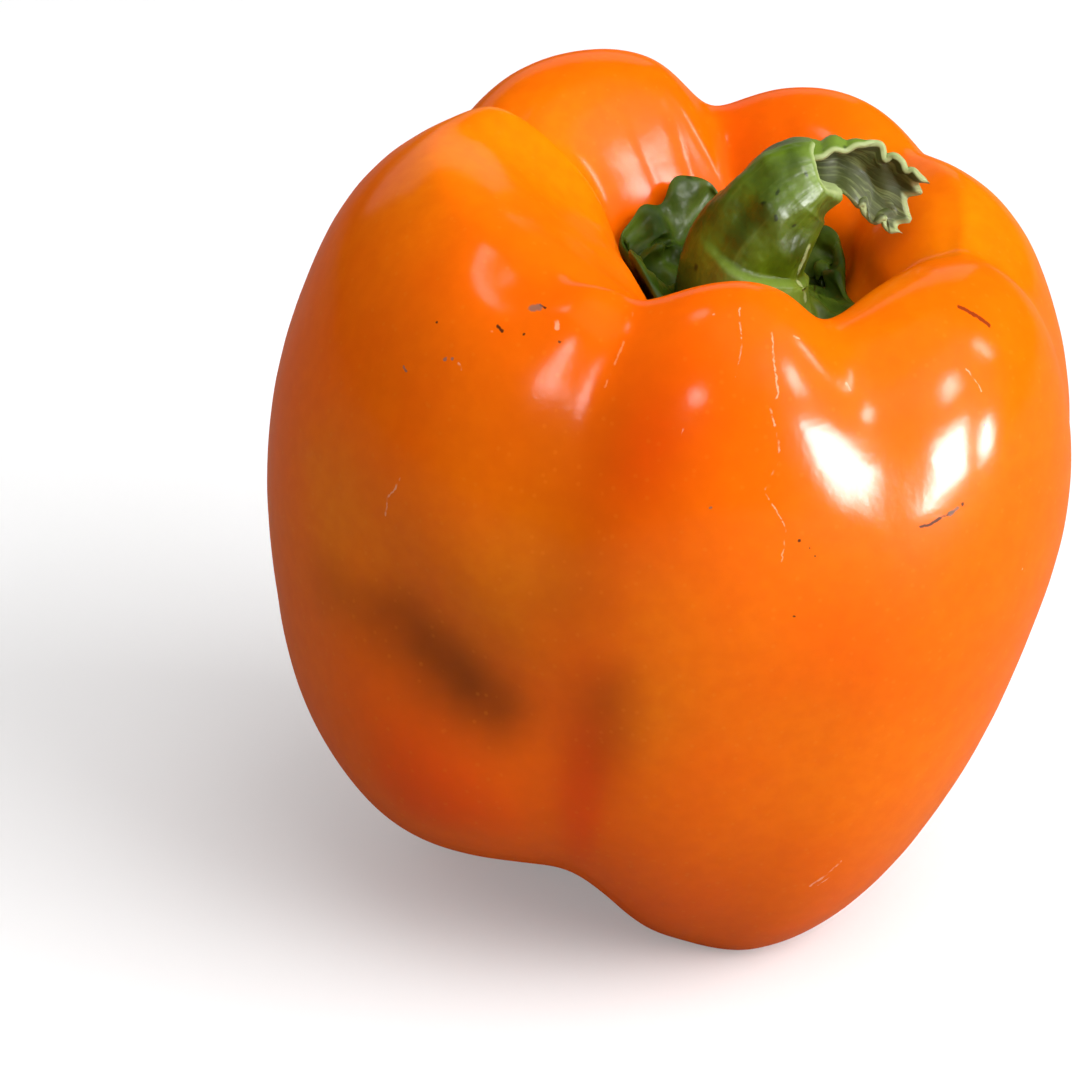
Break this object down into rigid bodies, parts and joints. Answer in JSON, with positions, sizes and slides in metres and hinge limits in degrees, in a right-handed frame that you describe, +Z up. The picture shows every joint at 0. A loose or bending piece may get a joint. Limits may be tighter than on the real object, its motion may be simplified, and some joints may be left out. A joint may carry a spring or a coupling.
{
  "type": "bell pepper",
  "caption": "Ripe orange bell pepper with uneven lobes, a deep stem hollow, a green calyx and a curved, torn green stem; it stands upright on the lobes of its foot.",
  "frame": {"origin": "middle of the bounding box, on the surface the pepper stands on", "axes": "+Z up from the blossom end to the stem; -Y is the front, where the deep crease between two lobes runs; +X is the side the stem leans to"},
  "size_m": [0.0843, 0.082, 0.0851],
  "materials": {
    "skin": "glossy waxy orange skin with slight mottling, greenish shaded patches, pale cork lines and small dark specks",
    "green_stem": "satin green stem and calyx with lengthwise ribs, dark flecks and pale fibrous torn edges"
  },
  "bodies": {
    "root": {"fruit": "skin", "stem_with_calyx": "green_stem"}
  },
  "joints": []
}
